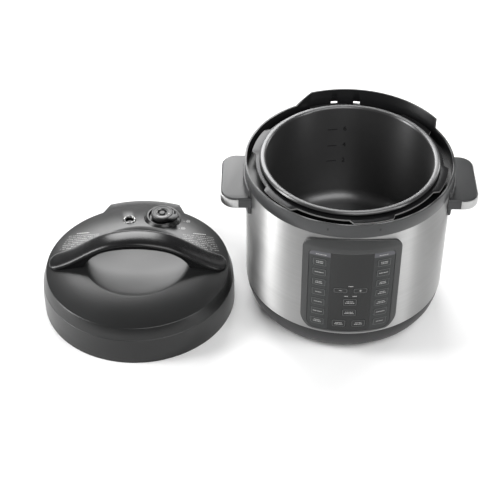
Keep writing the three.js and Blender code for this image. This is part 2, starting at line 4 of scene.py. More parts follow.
import bpy
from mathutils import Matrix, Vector

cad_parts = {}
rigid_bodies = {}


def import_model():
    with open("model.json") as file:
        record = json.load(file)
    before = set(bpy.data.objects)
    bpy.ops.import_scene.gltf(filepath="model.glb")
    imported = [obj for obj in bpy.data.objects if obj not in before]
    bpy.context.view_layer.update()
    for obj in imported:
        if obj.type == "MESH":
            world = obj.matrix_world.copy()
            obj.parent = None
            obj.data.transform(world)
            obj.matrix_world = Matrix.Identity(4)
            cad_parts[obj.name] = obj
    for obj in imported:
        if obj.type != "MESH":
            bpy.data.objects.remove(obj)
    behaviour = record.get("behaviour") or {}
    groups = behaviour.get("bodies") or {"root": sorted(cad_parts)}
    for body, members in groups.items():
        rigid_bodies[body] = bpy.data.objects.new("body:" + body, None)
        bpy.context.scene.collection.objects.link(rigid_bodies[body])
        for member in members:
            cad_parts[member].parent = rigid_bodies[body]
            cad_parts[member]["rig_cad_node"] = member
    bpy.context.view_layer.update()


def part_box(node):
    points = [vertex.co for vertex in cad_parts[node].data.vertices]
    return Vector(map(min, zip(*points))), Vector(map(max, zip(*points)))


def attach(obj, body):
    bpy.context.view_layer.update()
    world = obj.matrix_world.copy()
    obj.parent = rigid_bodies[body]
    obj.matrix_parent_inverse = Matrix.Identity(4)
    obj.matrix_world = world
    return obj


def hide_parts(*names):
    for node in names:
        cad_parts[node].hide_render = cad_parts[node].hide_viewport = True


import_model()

# ---- Camera ----
# A long lens looks down on the open cooker from a little to its left, with the lid in the
# left half of the frame.
focal_in_frames = 2.6277
camera_data = bpy.data.cameras.new("camera")
camera_data.sensor_width = 36
camera_data.lens = focal_in_frames * camera_data.sensor_width
camera_data.clip_end = 20
camera = bpy.data.objects.new("camera", camera_data)
camera.location = (-0.1148, -1.3832, 1.2886)
camera.rotation_euler = (math.radians(90 - 41.4), 0, math.radians(0.7))
bpy.context.scene.collection.objects.link(camera)
bpy.context.scene.camera = camera

# ---- Floor and studio lights ----
# White paper on the floor, a dim white room, a softbox overhead and another behind, and three
# tall side boxes that give the steel its upright streaks.
def deselect():
    for thing in bpy.context.selected_objects:
        thing.select_set(False)


deselect()
bpy.ops.mesh.primitive_plane_add(size=12, location=(0, 0, -0.0005))
floor = bpy.context.object
floor.name = "floor"
paper = bpy.data.materials.new("white_paper")
paper.use_nodes = True
paper.node_tree.nodes["Principled BSDF"].inputs["Base Color"].default_value = (0.97, 0.97, 0.97, 1)
paper.node_tree.nodes["Principled BSDF"].inputs["Roughness"].default_value = 0.9
floor.data.materials.append(paper)

room = bpy.data.worlds.new("pale_room")
room.use_nodes = True
room.node_tree.nodes["Background"].inputs["Color"].default_value = (1, 1, 1, 1)
room.node_tree.nodes["Background"].inputs["Strength"].default_value = 0.14
bpy.context.scene.world = room
bpy.context.scene.view_settings.view_transform = "Standard"


def softbox(name, place, aim, size, power):
    light = bpy.data.lights.new(name, "AREA")
    light.shape = "RECTANGLE"
    light.size, light.size_y = size
    light.energy = power
    holder = bpy.data.objects.new(name, light)
    holder.location = place
    holder.rotation_euler = (Vector(aim) - Vector(place)).to_track_quat("-Z", "Y").to_euler()
    bpy.context.scene.collection.objects.link(holder)


softbox("overhead", (0.7, -1.5, 2.3), (0, 0.1, 0), (2.2, 1.4), 45)
softbox("back_wall", (-0.65, 2.3, 1.72), (-0.1, 0, 0.1), (1.9, 1.5), 84)
softbox("left_box", (-1.75, -0.25, 0.8), (0, 0, 0.12), (0.5, 1.5), 32)
softbox("right_box", (1.5, -0.9, 0.8), (0, 0, 0.12), (0.35, 1.4), 9)
softbox("right_edge_box", (1.4, 1.15, 0.7), (0, 0, 0.12), (0.4, 1.3), 10)


# ---- Base ----
# The black moulded tray that everything stands in. It curves in under the casing, and its
# plastic has a fine spark-eroded grain.
def edit(thing):
    deselect()
    thing.select_set(True)
    bpy.context.view_layer.objects.active = thing
    bpy.ops.object.mode_set(mode="EDIT")


def select_all():
    bpy.ops.mesh.select_all(action="SELECT")


def done():
    bpy.ops.object.mode_set(mode="OBJECT")


def drawn(name, corners):
    """A chain of edges through corners, pulled out of one point."""
    deselect()
    bpy.ops.mesh.primitive_plane_add(size=0.001)
    chain = bpy.context.object
    chain.name = chain.data.name = name
    bpy.ops.object.mode_set(mode="EDIT")
    bpy.ops.mesh.select_mode(type="VERT")
    select_all()
    bpy.ops.mesh.merge(type="CENTER")
    here = Vector((0, 0, 0))
    for i, corner in enumerate(corners):
        step = Vector(corner) - here
        if i:
            bpy.ops.mesh.extrude_region_move(TRANSFORM_OT_translate={"value": step})
        else:
            bpy.ops.transform.translate(value=step)
        here = Vector(corner)
    return chain


def finished(thing, angle=35):
    """Smooth shading that keeps the creases, with the place left in the mesh."""
    deselect()
    thing.select_set(True)
    bpy.context.view_layer.objects.active = thing
    bpy.ops.object.transform_apply(location=True, rotation=True, scale=True)
    bpy.ops.object.shade_smooth_by_angle(angle=math.radians(angle))
    return thing


def modified(thing, kind, **settings):
    modifier = thing.modifiers.new(kind.lower(), kind)
    for key, value in settings.items():
        setattr(modifier, key, value)
    deselect()
    thing.select_set(True)
    bpy.context.view_layer.objects.active = thing
    bpy.ops.object.modifier_apply(modifier=modifier.name)


def softened(thing, width, segments, angle):
    """Rounded edges, wherever faces meet at more than an angle."""
    modified(thing, "BEVEL", width=width, segments=segments, limit_method="ANGLE",
             angle_limit=math.radians(angle))


def turned(name, outline, bevel=0.0006, steps=144, centre=(0, 0), closed=True):
    """An outline of (radius, height) spun about an upright axis."""
    x, y = centre
    corners = [(x + r, y, z) for r, z in outline]
    if closed:
        corners.append(corners[0])
    ring = drawn(name, corners)
    select_all()
    bpy.ops.mesh.remove_doubles(threshold=0.00001)
    bpy.ops.mesh.spin(steps=steps, angle=2 * math.pi, center=(x, y, 0), axis=(0, 0, 1))
    select_all()
    bpy.ops.mesh.remove_doubles(threshold=0.00001)
    bpy.ops.mesh.normals_make_consistent(inside=False)
    done()
    if bevel:
        softened(ring, bevel, 3, 22)
    return finished(ring)


class Value:
    """A number in a material. Arithmetic on it adds Math nodes."""

    def __init__(self, finish, socket):
        self.finish, self.socket = finish, socket

    def maths(self, operation, *numbers):
        return self.finish.node("ShaderNodeMath", {"operation": operation}, dict(enumerate(numbers)))

    def __add__(self, other): return self.maths("ADD", self, other)
    def __radd__(self, other): return self.maths("ADD", other, self)
    def __sub__(self, other): return self.maths("SUBTRACT", self, other)
    def __rsub__(self, other): return self.maths("SUBTRACT", other, self)
    def __mul__(self, other): return self.maths("MULTIPLY", self, other)
    def __rmul__(self, other): return self.maths("MULTIPLY", other, self)
    def __truediv__(self, other): return self.maths("DIVIDE", self, other)
    def __gt__(self, other): return self.maths("GREATER_THAN", self, other)
    def __lt__(self, other): return self.maths("LESS_THAN", self, other)
    def __abs__(self): return self.maths("ABSOLUTE", self)


class Finish:
    """A material under construction: one shader, and the nodes that vary it."""

    def __init__(self, name, **fixed):
        self.material = bpy.data.materials.new(name)
        self.material.use_nodes = True
        self.tree = self.material.node_tree
        self.shader = self.tree.nodes["Principled BSDF"]
        for key, value in fixed.items():
            self.shader.inputs[key.replace("_", " ").title().replace("Ior", "IOR")].default_value = value

    def node(self, kind, settings, inputs, output=0):
        made = self.tree.nodes.new(kind)
        for key, value in settings.items():
            if key == "stops":
                ramp = made.color_ramp
                while len(ramp.elements) < len(value):
                    ramp.elements.new(0.5)
                for element, (position, shade) in zip(ramp.elements, value):
                    element.position = position
                    element.color = (*shade, 1) if isinstance(shade, tuple) else (shade, shade, shade, 1)
            else:
                setattr(made, key, value)
        for key, value in inputs.items():
            if isinstance(value, Value):
                self.tree.links.new(value.socket, made.inputs[key])
            else:
                made.inputs[key].default_value = value
        return Value(self, made.outputs[output])

    def place(self, scale=(1, 1, 1), turn=(0, 0, 0), shift=(0, 0, 0)):
        point = self.node("ShaderNodeTexCoord", {}, {}, 3)
        return self.node("ShaderNodeMapping", {"vector_type": "POINT"},
                         {"Vector": point, "Scale": scale, "Rotation": turn, "Location": shift})

    def noise(self, scale, detail=3, stretch=(1, 1, 1)):
        point = self.place(scale=stretch)
        return self.node("ShaderNodeTexNoise", {}, {"Vector": point, "Scale": scale, "Detail": detail})

    def blend(self, mask, first, second):
        return self.node("ShaderNodeMix", {"data_type": "RGBA"}, {0: mask, 6: first, 7: second}, 2)

    def shades(self, mask, dark, light):
        return self.blend(mask, (*dark, 1), (*light, 1))

    def reach(self, point=None):
        """Distance from an upright axis."""
        point = point or self.node("ShaderNodeTexCoord", {}, {}, 3)
        flat = self.node("ShaderNodeVectorMath", {"operation": "MULTIPLY"}, {0: point, 1: (1, 1, 0)})
        return self.node("ShaderNodeVectorMath", {"operation": "LENGTH"}, {0: flat}, 1)

    def between(self, mask, low, high):
        return self.node("ShaderNodeMapRange", {}, {"Value": mask, "To Min": low, "To Max": high})

    def feed(self, **links):
        for key, value in links.items():
            self.tree.links.new(value.socket, self.shader.inputs[key.replace("_", " ").title()])
        return self

    def bump(self, height, strength, distance=0.0005):
        sockets = {"Height": height, "Strength": strength, "Distance": distance}
        bumped = self.node("ShaderNodeBump", {}, sockets)
        return self.feed(Normal=bumped)


def wear(thing, *finishes):
    thing.data.materials.clear()
    for finish in finishes:
        thing.data.materials.append(finish.material)


def moulded(name, dark, light, rough, grain=2600, relief=0.25, coat=0.0):
    """Moulded plastic: a fine grain, slow changes of tone and slightly uneven gloss."""
    finish = Finish(name, coat_weight=coat, coat_roughness=0.08, specular_ior_level=0.4)
    cloud = finish.noise(14, 2)
    fine = finish.noise(grain, 2)
    finish.feed(Base_Color=finish.shades(cloud, dark, light))
    finish.feed(Roughness=finish.between(cloud * 0.6 + fine * 0.4, rough - 0.06, rough + 0.08))
    return finish.bump(fine, relief, 0.0002)


black_grain = moulded("black_grained_plastic", (0.012, 0.012, 0.013), (0.02, 0.02, 0.021), 0.42, 2200, 0.3)
base_top, base_foot = 0.041, 0.003
base = turned("base_tray", [
    (0.0001, base_foot), (0.110, base_foot), (0.1205, 0.0062), (0.1275, 0.0122), (0.1322, 0.0205),
    (0.1352, 0.031), (0.1366, base_top), (0.1341, base_top), (0.133, 0.0325), (0.1287, 0.0185),
    (0.1205, 0.0095), (0.0001, 0.0055),
])
wear(base, black_grain)
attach(base, "root")
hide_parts("base_cover")

# ---- Feet ----
# Four soft rubber buttons under the tray, each with a rounded rim.
foot_rubber = moulded("foot_rubber", (0.01, 0.01, 0.01), (0.02, 0.02, 0.02), 0.78, 1500, 0.5)
for i in range(1, 5):
    low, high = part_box(f"foot_{i}")
    middle = ((low[0] + high[0]) / 2, (low[1] + high[1]) / 2)
    reach = (high[0] - low[0]) / 2
    foot = turned(f"rubber_foot_{i}", [
        (0.0001, low[2]), (reach - 0.002, low[2]), (reach, low[2] + 0.001), (reach - 0.0006, high[2]),
        (0.0001, high[2]),
    ], bevel=0.0003, steps=40, centre=middle)
    wear(foot, foot_rubber)
    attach(foot, "root")
    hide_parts(f"foot_{i}")

# ---- Steel casing ----
# Sheet steel rolled into a drum and brushed round its girth, with a turned edge at each end.
# It is clipped between the tray and the top ring.
shell_low, shell_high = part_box("outer_shell")
shell_r = 0.137
shell_in = shell_r - 0.0012
brushed = Finish("brushed_steel_casing", metallic=1.0, anisotropic=0.92, anisotropic_rotation=0.25)
strokes = brushed.noise(1.0, 6, (9, 9, 2600))
broad = brushed.noise(1.0, 3, (4, 4, 420))
streaks = strokes * 0.65 + broad * 0.35
brushed.feed(Base_Color=brushed.shades(streaks, (0.31, 0.31, 0.31), (0.52, 0.52, 0.515)))
brushed.feed(Roughness=brushed.between(strokes * 0.5 + broad * 0.5, 0.40, 0.56))
brushed.bump(strokes, 0.12, 0.0001)
casing = turned("steel_casing", [
    (shell_in, shell_low[2]), (shell_r - 0.0007, shell_low[2]), (shell_r, shell_low[2] + 0.0008),
    (shell_r, shell_high[2] - 0.0008), (shell_r - 0.0007, shell_high[2]), (shell_in, shell_high[2]),
], bevel=0.0003, steps=240)
wear(casing, brushed)
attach(casing, "root")
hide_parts("outer_shell")

# ---- Top ring ----
# A charcoal moulding snapped onto the casing. It holds the groove for the lid's skirt, and at
# the back it rises into a wall with two drip slots at its foot. Lock marks stand on its front.
ring_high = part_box("top_ring")[1]
ring_out, ring_in = 0.1386, 0.1359
ring_bottom, ring_top, crown_top = 0.212, 0.232, ring_high[2]
well_floor, well_in = 0.2145, 0.117
crown_right, crown_left, crown_slope = 120, 203, 7
satin = moulded("charcoal_satin_plastic", (0.030, 0.031, 0.032), (0.044, 0.045, 0.046), 0.36, 2600, 0.18)
two_tone = Finish("ring_plastic", specular_ior_level=0.42)
reach = two_tone.reach()
cloud = two_tone.noise(14, 2)
fine = two_tone.noise(2600, 2)
outer = two_tone.shades(cloud, (0.034, 0.035, 0.036), (0.046, 0.047, 0.048))
inner = two_tone.shades(cloud, (0.006, 0.006, 0.0065), (0.010, 0.010, 0.0105))
two_tone.feed(
    Base_Color=two_tone.blend(reach > ring_in + 0.0012, inner, outer),
    Roughness=two_tone.between(cloud * 0.6 + fine * 0.4, 0.26, 0.4),
)
two_tone.bump(fine, 0.15, 0.0002)


def around(azimuth, radius, z=0.0):
    """A point at an azimuth from the front, turning towards the right-hand handle."""
    angle = math.radians(azimuth)
    return Vector((radius * math.sin(angle), -radius * math.cos(angle), z))


def cut(thing, cutter, how="DIFFERENCE"):
    modified(thing, "BOOLEAN", object=cutter, operation=how, solver="EXACT")
    bpy.data.objects.remove(cutter)


def face_of(name, corners):
    """A flat filled outline."""
    flat = drawn(name, [*corners, corners[0]])
    select_all()
    bpy.ops.mesh.remove_doubles(threshold=0.00001)
    bpy.ops.mesh.edge_face_add()
    return flat


def slab(name, corners, push):
    """A flat outline pushed along a vector into a solid."""
    flat = face_of(name, corners)
    bpy.ops.mesh.extrude_region_move(TRANSFORM_OT_translate={"value": push})
    select_all()
    bpy.ops.mesh.normals_make_consistent(inside=False)
    done()
    return flat


def brick(name, low, high):
    deselect()
    middle = [(a + b) / 2 for a, b in zip(low, high)]
    bpy.ops.mesh.primitive_cube_add(size=1, location=middle)
    cube = bpy.context.object
    cube.name = cube.data.name = name
    cube.scale = [b - a for a, b in zip(low, high)]
    bpy.ops.object.transform_apply(location=True, rotation=True, scale=True)
    return cube


top_ring = turned("moulded_top_ring", [
    (well_in, ring_bottom), (shell_in - 0.004, ring_bottom), (shell_in - 0.004, ring_bottom - 0.006),
    (shell_in - 0.0004, ring_bottom - 0.006), (shell_in - 0.0004, ring_bottom),
    (ring_out - 0.0006, ring_bottom),
    (ring_out, ring_bottom + 0.0012), (ring_out, crown_top - 0.0008), (ring_out - 0.0008, crown_top),
    (ring_in + 0.0004, crown_top), (ring_in, crown_top - 0.0006), (ring_in, ring_top - 0.0035),
    (ring_in - 0.0008, ring_top - 0.0050), (ring_in - 0.0008, well_floor), (well_in, well_floor),
], bevel=0, steps=288)
low_start = crown_left + crown_slope
sweep = [around(low_start + (360 - crown_left - crown_slope + crown_right) * i / 48, 0.2, ring_top)
         for i in range(49)]
lowered = slab("crown_cutter", [(0, 0, ring_top), *sweep], (0, 0, 0.04))
edit(lowered)
bpy.ops.mesh.select_all(action="DESELECT")
done()
slope_end = around(crown_left + crown_slope, 0.2, ring_top + 0.04)
for vertex in lowered.data.vertices:
    vertex.select = (vertex.co - slope_end).length < 0.001
edit(lowered)
slope_top = around(crown_left + crown_slope * (1 - 0.04 / (crown_top - ring_top)), 0.2, ring_top + 0.04)
bpy.ops.transform.translate(value=slope_top - slope_end)
done()
cut(top_ring, lowered)
slot_low, slot_high, slot_half = 0.2242, 0.2288, 0.0046
for side in (-1, 1):
    middle = side * 0.0158
    cut(top_ring, brick("slot_cutter", (middle - slot_half, 0.12, slot_low),
                        (middle + slot_half, 0.15, slot_high)))
softened(top_ring, 0.0006, 2, 50)
finished(top_ring)
wear(top_ring, two_tone)
for side in (-1, 1):
    lock_mark = brick("lock_mark", (-0.0012, -ring_out - 0.0001, 0.2212), (0.0012, 0.001 - ring_out, 0.2248))
    lock_mark.rotation_euler.z = math.radians(13.7 * side)
    finished(lock_mark)
    wear(lock_mark, black_grain)
    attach(lock_mark, "root")
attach(top_ring, "root")
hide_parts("top_ring")

# ---- Cooking chamber ----
# A pressed vessel with a thick flange whose six lugs lock the lid. The steel is blackened, and
# the sheared edge of the flange is left bright.
flange_top, flange_thick = 0.2295, 0.0025
flange_r, lug_r, chamber_in = 0.124, 0.1303, 0.1145
lug_at, lug_half, lug_step = 12, 12.7, 60
blackened = Finish("blackened_flange", metallic=0.55)
tone = blackened.noise(30, 3)
facing = blackened.node("ShaderNodeNewGeometry", {}, {}, 1)
upright = blackened.node("ShaderNodeSeparateXYZ", {}, {"Vector": facing}, 2)
reach = blackened.reach()
sheared = (abs(upright) < 0.85) * (reach > 0.1225)
worn = blackened.shades(tone, (0.010, 0.010, 0.011), (0.022, 0.022, 0.023))
blackened.feed(
    Base_Color=blackened.blend(sheared, worn, (0.62, 0.62, 0.61, 1)),
    Roughness=blackened.between(tone, 0.24, 0.4),
)
deselect()
bpy.ops.mesh.primitive_circle_add(vertices=144, radius=chamber_in, location=(0, 0, flange_top))
chamber = bpy.context.object
chamber.name = chamber.data.name = "pressure_chamber"
edit(chamber)
select_all()
bpy.ops.mesh.extrude_edges_move()
bpy.ops.transform.resize(value=(flange_r / chamber_in, flange_r / chamber_in, 1))
bpy.ops.mesh.select_all(action="DESELECT")
done()
for vertex in chamber.data.vertices:
    azimuth = math.degrees(math.atan2(vertex.co.x, -vertex.co.y))
    off = (azimuth - lug_at + lug_step / 2) % lug_step - lug_step / 2
    vertex.select = vertex.co.xy.length > chamber_in + 0.001 and abs(off) < lug_half
edit(chamber)
bpy.ops.transform.resize(value=(lug_r / flange_r, lug_r / flange_r, 1), center_override=(0, 0, flange_top))
edit(chamber)
select_all()
bpy.ops.mesh.extrude_region_move(TRANSFORM_OT_translate={"value": (0, 0, -flange_thick)})
select_all()
bpy.ops.mesh.normals_make_consistent(inside=False)
done()
softened(chamber, 0.0005, 2, 60)
finished(chamber)
wear(chamber, blackened)
vessel = turned("pressure_vessel", [
    (0.022, 0.062), (0.100, 0.062), (0.112, 0.068), (0.116, 0.082),
    (0.116, flange_top - flange_thick - 0.0001), (chamber_in, flange_top - flange_thick - 0.0001),
    (chamber_in, 0.0824), (0.1109, 0.0692), (0.0996, 0.0635), (0.022, 0.0635),
], steps=96)
wear(vessel, blackened)
for piece in (chamber, vessel):
    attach(piece, "root")
    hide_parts("cooking_chamber")

# ---- Inner pot ----
# A spun pot with a rolled rim and a grey non-stick coating over tiny spin marks. It lifts
# straight out of the chamber. Fill lines and figures are pressed into its far wall.
pot_in, pot_out, rim_r = 0.1107, 0.1125, 0.119
pot_floor, pot_top, corner = 0.078, 0.236, 0.017


def arc(x, z, radius, start, end, steps=10):
    """Points of (radius, height) along a round corner."""
    angles = [math.radians(start + (end - start) * i / steps) for i in range(steps + 1)]
    return [(x + radius * math.cos(a), z + radius * math.sin(a)) for a in angles]


coating = Finish("grey_nonstick_coating", metallic=0.8, anisotropic=0.8, anisotropic_rotation=0.25)
speckle = coating.noise(3200, 2)
drift = coating.noise(9, 3)
spin_marks = coating.noise(1.0, 4, (2, 2, 900))
coating.feed(
    Base_Color=coating.shades(drift * 0.5 + speckle * 0.5, (0.095, 0.095, 0.096), (0.140, 0.140, 0.141)),
    Roughness=coating.between(spin_marks, 0.29, 0.40),
)
coating.bump(spin_marks * 0.6 + speckle * 0.4, 0.06, 0.0002)
inner_pot = turned("nonstick_pot", [
    (0.0001, pot_floor - 0.0018), *arc(pot_in - corner, pot_floor + corner, corner + 0.0018, -90, 0),
    (pot_out, pot_top - 0.006), *arc(rim_r - 0.0045, pot_top - 0.0035, 0.0022, -150, -60, 3),
    *arc(rim_r - 0.0030, pot_top - 0.0030, 0.0030, 0, 90, 6),
    *arc(pot_in + 0.0032, pot_top - 0.0032, 0.0032, 90, 180, 6),
    *arc(pot_in - corner, pot_floor + corner, corner, 0, -90, 14), (0.0001, pot_floor),
], bevel=0, steps=240)
wear(inner_pot, coating)
fill_mark = moulded("embossed_marks", (0.010, 0.010, 0.010), (0.020, 0.020, 0.020), 0.4, 1500, 0.1)
for figure, z in ((6, 0.199), (4, 0.171), (2, 0.144)):
    line = brick(f"fill_line_{figure}", (-0.0068, pot_in - 0.0006, z - 0.0005),
                 (0.0068, pot_in + 0.0008, z + 0.0005))
    line.rotation_euler.z = math.radians(9)
    deselect()
    bpy.ops.object.text_add(location=(0, pot_in - 0.0002, z - 0.0022), rotation=(math.radians(90), 0, 0))
    number = bpy.context.object
    number.data.body, number.data.size, number.data.extrude = str(figure), 0.0100, 0.0004
    number.data.align_x = "CENTER"
    bpy.ops.object.convert(target="MESH")
    number = bpy.context.object
    number.name = number.data.name = f"fill_figure_{figure}"
    for mark in (line, number):
        finished(mark)
        wear(mark, fill_mark)
        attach(mark, "inner_pot")
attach(inner_pot, "inner_pot")
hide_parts("inner_pot")

# ---- Heating plate and temperature sensor ----
# A cast aluminium plate machined flat on top, with a sprung aluminium button in the middle that
# touches the pot. Under them are the spring, its holder, the pressure switch and the cutout.
machined = Finish("machined_aluminium", metallic=1.0, anisotropic=0.6)
radius = machined.reach()
rings = machined.node("ShaderNodeTexNoise", {"noise_dimensions": "1D"},
                      {"W": radius * 2400, "Scale": 1.0, "Detail": 3})
machined.feed(Base_Color=machined.shades(rings, (0.42, 0.42, 0.43), (0.62, 0.62, 0.63)),
              Roughness=machined.between(rings, 0.26, 0.46))
machined.bump(rings, 0.15, 0.0001)
spring_steel = Finish("drawn_steel", metallic=1.0)
streaks = spring_steel.noise(1.0, 4, (500, 500, 60))
spring_steel.feed(Base_Color=spring_steel.shades(streaks, (0.45, 0.45, 0.45), (0.66, 0.66, 0.65)),
                  Roughness=spring_steel.between(streaks, 0.22, 0.42))
solder_mask = Finish("green_solder_mask")
tracks = solder_mask.node("ShaderNodeTexBrick", {"offset": 0.3}, {
    "Vector": solder_mask.place(), "Scale": 110.0, "Mortar Size": 0.012, "Color1": (0.012, 0.085, 0.03, 1),
    "Color2": (0.016, 0.11, 0.04, 1), "Mortar": (0.04, 0.2, 0.08, 1)})
solder_mask.feed(Base_Color=tracks, Roughness=solder_mask.between(solder_mask.noise(200), 0.3, 0.5))


def dress(finish, *nodes):
    """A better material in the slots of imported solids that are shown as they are."""
    for node in nodes:
        for thing in bpy.context.scene.objects:
            if thing.get("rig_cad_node") == node:
                for slot in thing.material_slots:
                    slot.material = finish.material


dress(machined, "heating_plate", "temperature_sensor")
dress(spring_steel, "sensor_spring", "sensor_holder", "seal_rack", "valve_stem", "valve_screen",
      "relief_housing",
      "relief_ball", "float_pin")
dress(solder_mask, "power_board", "control_board")
dress(black_grain, "pressure_switch", "thermal_cutout")

# ---- Control panel frame ----
# A moulded surround screwed to the casing and curved like it. Its upper part slopes back as a
# hood, its outer edges are well rounded, and its pocket takes the printed panel.
panel_r, panel_half, panel_low, panel_high, hood = 0.1435, 0.0638, 0.0465, 0.210, 0.195
pocket_half, pocket_low, pocket_high, window_half = 0.0553, 0.0537, 0.1883, 0.024


def rounded(half, low, high, lower, upper, steps=8):
    """Corners (x, z) of an upright rectangle with its own radius below and above."""
    return [*arc(half - lower, low + lower, lower, -90, 0, steps),
            *arc(half - upper, high - upper, upper, 0, 90, steps),
            *arc(upper - half, high - upper, upper, 90, 180, steps),
            *arc(lower - half, low + lower, lower, 180, 270, steps)]


def plate(name, outline, near, far):
    """An unrolled outline (x, z) as a flat plate between two radii in front of the panel's face."""
    flat = [(panel_r * math.asin(x / panel_r), panel_r - near, z) for x, z in outline]
    return slab(name, flat, (0, near - far, 0))


def pick(thing, test):
    """Selects the corners of a piece that pass a test, in edit mode."""
    bpy.ops.mesh.select_mode(type="VERT")
    bpy.ops.mesh.select_all(action="DESELECT")
    done()
    for vertex in thing.data.vertices:
        vertex.select = bool(test(vertex.co))
    bpy.ops.object.mode_set(mode="EDIT")


def rolled(thing, width=0.003):
    """A flat plate cut into upright strips and bent round the cooker's axis."""
    edit(thing)
    reach = max(vertex.co.x for vertex in thing.data.vertices)
    count = int(reach / width)
    for i in range(-count, count + 1):
        select_all()
        bpy.ops.mesh.bisect(plane_co=(i * width, 0, 0), plane_no=(1, 0, 0))
    done()
    modified(thing, "SIMPLE_DEFORM", deform_method="BEND", deform_axis="Z", angle=2 * reach / panel_r)
    thing.location.y = -panel_r
    return thing


lower, upper, drop, tilt = 0.027, 0.012, 0.007, 75
corner_z = panel_high - drop - upper
right = arc(panel_half - upper, corner_z, upper, 0, tilt, 8)
edge_x, edge_z = right[-1]
crown = [(edge_x * (1 - i / 10), panel_high - (panel_high - edge_z) * (1 - i / 10) ** 2)
         for i in range(1, 20)]
frame_face = plate("panel_surround", [
    *arc(panel_half - lower, panel_low + lower, lower, -90, 0, 10), *right, *crown,
    *arc(upper - panel_half, corner_z, upper, 180 - tilt, 180, 8),
    *arc(lower - panel_half, panel_low + lower, lower, 180, 270, 10)], panel_r, 0.1376)
edit(frame_face)
select_all()
bpy.ops.mesh.bisect(plane_co=(0, 0, hood), plane_no=(0, -0.958, 0.287), clear_outer=True, use_fill=True)
select_all()
chin = 0.0515
bpy.ops.mesh.bisect(plane_co=(0, 0, chin), plane_no=(0, -0.781, -0.625), clear_outer=True, use_fill=True)
pick(frame_face, lambda at: (at.y < 0.0001 or abs(at.y - (at.z - hood) * 0.3) < 0.0002
                             or abs(at.y - (chin - at.z) * 0.8) < 0.0002))
bpy.ops.mesh.bevel(offset=0.0030, segments=5, clamp_overlap=True)
done()
pocket_outline = rounded(pocket_half, pocket_low, pocket_high, 0.0123, 0.0073)
cut(frame_face, plate("pocket_cutter", pocket_outline, 0.149, 0.1410))
window_low, window_high = 0.138, 0.174
cut(frame_face, brick("window_cutter", (-window_half, -0.002, window_low), (window_half, 0.012, window_high)))
edit(frame_face)
pocket_edge = 0.0578
pick(frame_face, lambda at: (abs(at.y) < 0.0001 and abs(at.x) < pocket_edge
                             and pocket_low - 0.0001 < at.z < pocket_high + 0.0001))
bpy.ops.mesh.bevel(offset=0.0005, segments=2)
done()
rolled(frame_face)
finished(frame_face)
frame_satin = moulded("panel_satin_plastic", (0.030, 0.031, 0.031), (0.042, 0.043, 0.043), 0.34, 2600, 0.15)
wear(frame_face, frame_satin)
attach(frame_face, "root")
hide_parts("panel_frame")

# ---- Printed panel ----
# A hard film printed from behind: two satin side columns with grey headings, and a glossy
# centre column over the display. Small white dashes stand in for its wording.
overlay_r, overlay_half, overlay_low, overlay_high, overlay_back = 0.1430, 0.055, 0.054, 0.188, 0.1413
column_edge, heading_low = 0.0281, 0.1808
key_wide, key_high, step_high, key_corner = 0.0186, 0.0123, 0.0086, 0.0023
row_pitch, first_row, column_at, pair_at = 0.01725, 0.0668, 16.8, 5.2
keys = [(f"key_{side}_{row + 1}", turn, first_row + (6 - row) * row_pitch, key_high, lines)
        for side, turn, rows in (("left", -column_at, (2, 1, 2, 1, 1, 1, 2)),
                                 ("right", column_at, (2, 1, 2, 2, 2, 1, 1)))
        for row, lines in enumerate(rows)]
keys += [("key_minus", -pair_at, 0.1259, step_high, "minus"),
         ("key_plus", pair_at, 0.1259, step_high, "plus"),
         ("key_centre_1", 0, 0.1054, key_high, 2), ("key_centre_2", 0, 0.0867, key_high, 2),
         ("key_bottom_1", -pair_at, first_row, key_high, 2),
         ("key_bottom_2", pair_at, first_row, key_high, 2)]
ink = Finish("white_print", roughness=0.5)
ink.feed(Base_Color=ink.shades(ink.noise(2000), (0.34, 0.34, 0.335), (0.46, 0.46, 0.455)))
side_film = moulded("side_column_film", (0.016, 0.018, 0.018), (0.022, 0.024, 0.024), 0.3, 900, 0.05)
centre_film = moulded("centre_column_film", (0.008, 0.0085, 0.0085), (0.011, 0.0115, 0.0115), 0.2, 900, 0.02)
heading_film = moulded("heading_film", (0.075, 0.075, 0.085), (0.09, 0.09, 0.1), 0.35, 900, 0.05)


def bars(prefix, x, z, total, height, count, front):
    """A row of short dashes of uneven length, centred at x, z."""
    shares = [1 + 0.55 * math.sin(2.4 * i + 40 * z + 9 * x) for i in range(count)]
    gap = 0.00042
    unit = (total - gap * (count - 1)) / sum(shares)
    made, left = [], x - total / 2
    for i, share in enumerate(shares):
        made.append(brick(f"{prefix}_{i}", (left, front, z - height / 2),
                          (left + share * unit, 0.0015, z + height / 2)))
        left += share * unit + gap
    return made


def joined(thing, others):
    deselect()
    for other in others:
        other.select_set(True)
    thing.select_set(True)
    bpy.context.view_layer.objects.active = thing
    bpy.ops.object.join()
    return thing


film_outline = rounded(overlay_half, overlay_low, overlay_high, 0.012, 0.007)
film = plate("printed_panel", film_outline, overlay_r, overlay_back)
for name, turn, z, height, lines in keys:
    hole = [(x + panel_r * math.radians(turn), panel_r - 0.15, zz) for x, zz in
            rounded(key_wide / 2 + 0.0003, z - height / 2 - 0.0003, z + height / 2 + 0.0003,
                    0.0026, 0.0026, 4)]
    cut(film, slab("key_cutter", hole, (0, 0.01, 0)))
edit(film)
for edge in (-column_edge, column_edge):
    select_all()
    bpy.ops.mesh.bisect(plane_co=(edge, 0, 0), plane_no=(1, 0, 0))
select_all()
bpy.ops.mesh.bisect(plane_co=(0, 0, heading_low), plane_no=(0, 0, 1))
done()
wear(film, side_film, centre_film, heading_film, ink)
for face in film.data.polygons:
    if abs(face.center.x) < column_edge:
        face.material_index = 1
    elif face.center.z > heading_low:
        face.material_index = 2
film_front = panel_r - overlay_r - 0.00004
